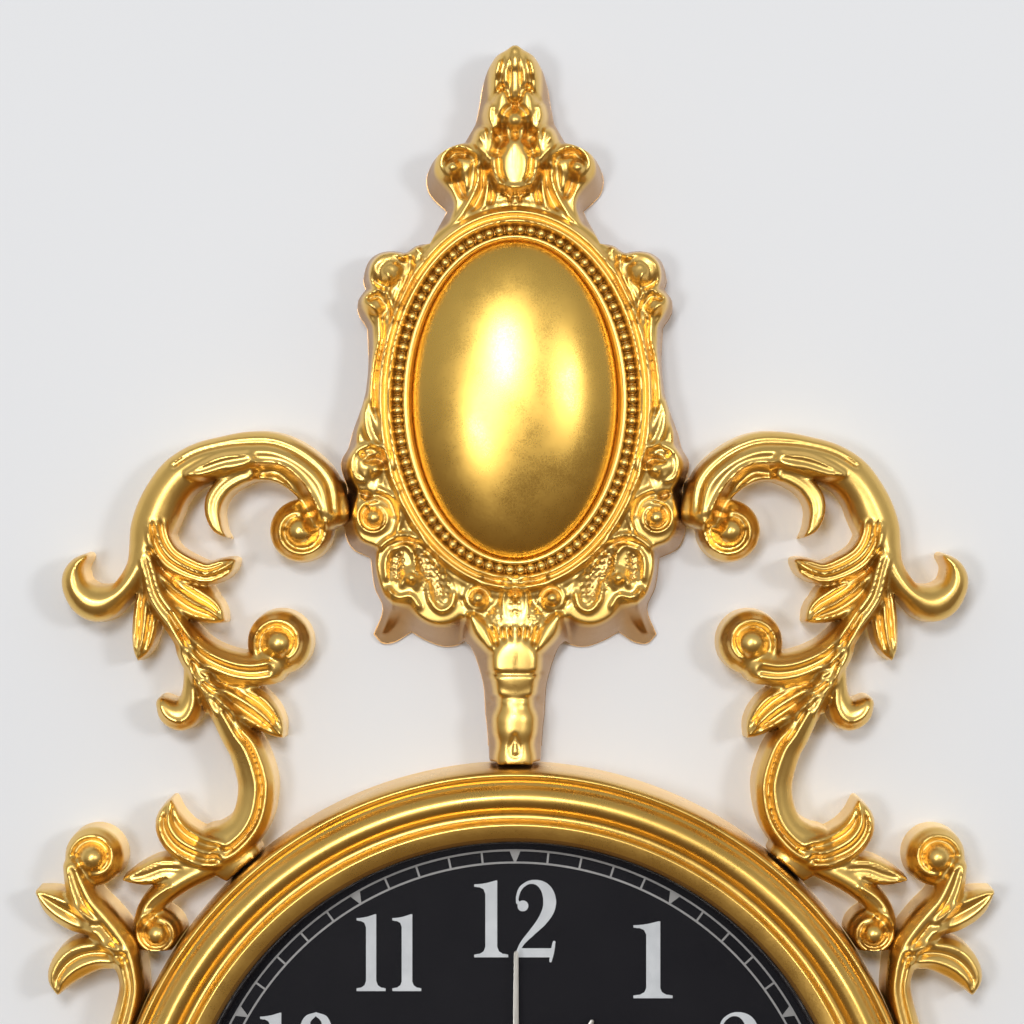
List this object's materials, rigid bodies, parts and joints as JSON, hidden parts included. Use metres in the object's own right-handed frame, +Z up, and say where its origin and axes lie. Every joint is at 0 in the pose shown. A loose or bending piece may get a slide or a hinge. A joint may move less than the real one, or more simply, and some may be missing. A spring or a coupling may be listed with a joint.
{
  "type": "pendulum wall clock",
  "caption": "Gold baroque wall clock with scrolled arms, an oval domed crest, a black numbered dial, two hands and a swinging pendulum.",
  "frame": {"origin": "on the dial's axis in the plane of the wall, on the back face of the movement cover", "axes": "+Z up, +Y into the wall, +X to the right seen from the front; the dial faces -Y"},
  "size_m": [0.431, 0.048, 0.9108],
  "materials": {
    "gold_paint": "satin",
    "gold_smooth": "satin",
    "backboard": "matte",
    "lens_glass": "gloss",
    "black_rubber": "matte",
    "brown_gloss": "gloss",
    "dial_black": "satin",
    "zinc_steel": "satin",
    "brass_turned": "satin",
    "black_plastic": "matte",
    "battery_sleeve": "satin",
    "nickel_spring": "satin",
    "board_green": "satin",
    "copper_wire": "satin",
    "white_acetal": "satin",
    "hand_silver": "satin"
  },
  "bodies": {
    "root": {"bezel_ring": "gold_paint", "crest_casting": "gold_paint", "crest_dome": "gold_smooth", "crest_backboard": "backboard", "upper_arm_left": "gold_paint", "upper_arm_right": "gold_paint", "lower_arm_left": "gold_paint", "lower_arm_right": "gold_paint", "side_scroll_left": "gold_paint", "side_scroll_right": "gold_paint", "bottom_pendant": "gold_paint", "lens": "lens_glass", "lens_gasket": "black_rubber", "dial_surround": "brown_gloss", "dial_plate": "dial_black", "dial_clips": "zinc_steel", "dial_clip_screws": "zinc_steel", "joining_straps": "zinc_steel", "strap_screws": "zinc_steel", "hanger_plate": "zinc_steel", "hanger_screws": "zinc_steel", "dial_washer": "black_rubber", "dial_nut": "brass_turned", "movement_case": "black_plastic", "movement_cover": "black_plastic", "movement_screws": "zinc_steel", "battery": "battery_sleeve", "battery_contacts": "nickel_spring", "circuit_board": "board_green", "motor_coil": "copper_wire", "motor_stator": "zinc_steel", "pendulum_coil": "copper_wire", "pendulum_pin": "zinc_steel"},
    "minute": {"minute_arbor": "brass_turned", "minute_hand": "hand_silver", "hand_nut": "hand_silver"},
    "hour": {"hour_wheel": "white_acetal", "hour_hand": "hand_silver"},
    "intermediate": {"intermediate_wheel": "white_acetal"},
    "setting": {"setting_knob": "black_plastic"},
    "pendulum": {"pendulum_rocker": "white_acetal", "rocker_magnet": "nickel_spring", "pendulum_rod": "brass_turned", "pendulum_bob": "gold_smooth", "rating_nut": "brass_turned"}
  },
  "joints": [
    {"name": "minute_spin", "type": "hinge", "parent": "root", "child": "minute", "pos_m": [0, 0, 0], "axis": [0, 1, 0], "continuous": true},
    {"name": "hour_spin", "type": "hinge", "parent": "root", "child": "hour", "pos_m": [0, 0, 0], "axis": [0, 1, 0], "continuous": true},
    {"name": "intermediate_spin", "type": "hinge", "parent": "root", "child": "intermediate", "pos_m": [-0.0096, 0, 0], "axis": [0, 1, 0], "continuous": true},
    {"name": "setting_spin", "type": "hinge", "parent": "root", "child": "setting", "pos_m": [-0.0096, 0, -0.0096], "axis": [0, 1, 0], "continuous": true},
    {"name": "pendulum_swing", "type": "hinge", "parent": "root", "child": "pendulum", "pos_m": [0, 0, -0.03], "axis": [0, 1, 0], "range_deg": [-8, 8]}
  ],
  "couplings": [
    {"joint": "hour_spin", "follows": "minute_spin", "ratio": 0.083333},
    {"joint": "intermediate_spin", "follows": "minute_spin", "ratio": -0.33333},
    {"joint": "setting_spin", "follows": "minute_spin", "ratio": 1}
  ]
}
